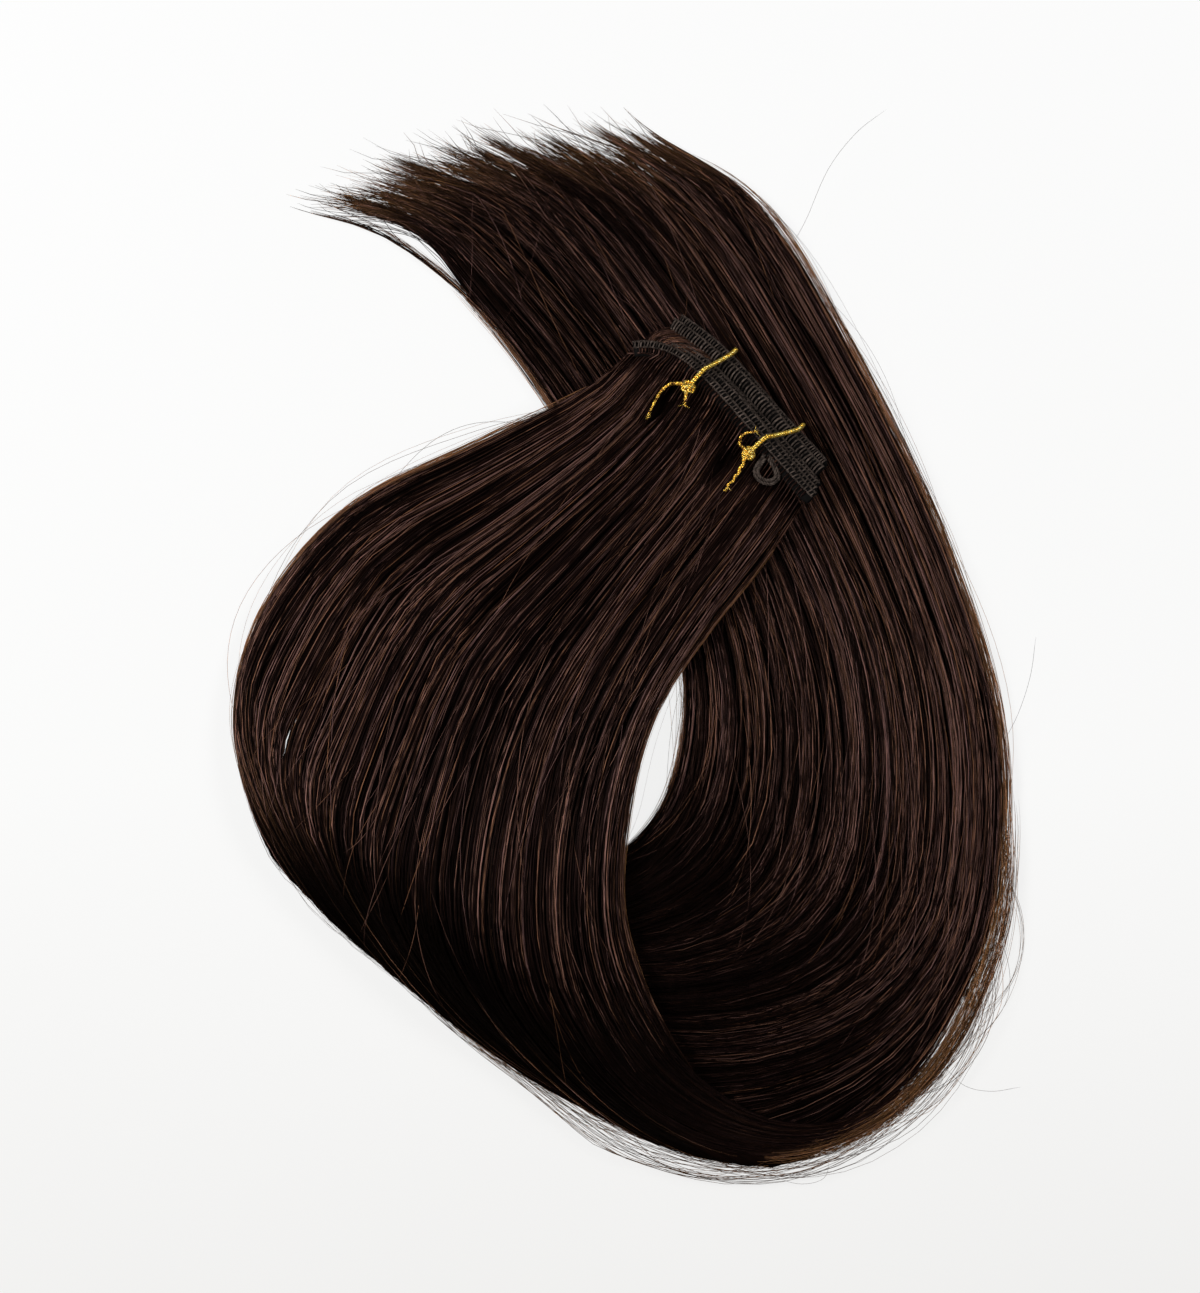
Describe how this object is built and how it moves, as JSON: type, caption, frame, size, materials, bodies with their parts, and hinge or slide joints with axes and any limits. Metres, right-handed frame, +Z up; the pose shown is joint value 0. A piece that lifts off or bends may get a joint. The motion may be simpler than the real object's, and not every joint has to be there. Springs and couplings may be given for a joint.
{
  "type": "hair weft",
  "caption": "Long straight dark brown hair sewn to a folded stitched track with knotted gold ties, laid in a loop that rolls under itself and ends in ragged tips.",
  "frame": {"origin": "centre of the outline's box in plan, on the surface that the hair lies on", "axes": "+X to the right and +Y towards the tips as the picture shows them, +Z up out of the surface"},
  "size_m": [0.2173, 0.2908, 0.019],
  "materials": {
    "hair": "smooth straight dark brown hair with a soft sheen along the strands",
    "track_thread": "dark polyester thread, chain-stitched in close rows",
    "gold_cord": "thin metallic gold cord with frayed ends"
  },
  "bodies": {
    "root": {"hair": "hair", "weft_track": "track_thread", "tie_upper": "gold_cord", "tie_lower": "gold_cord"}
  },
  "joints": []
}
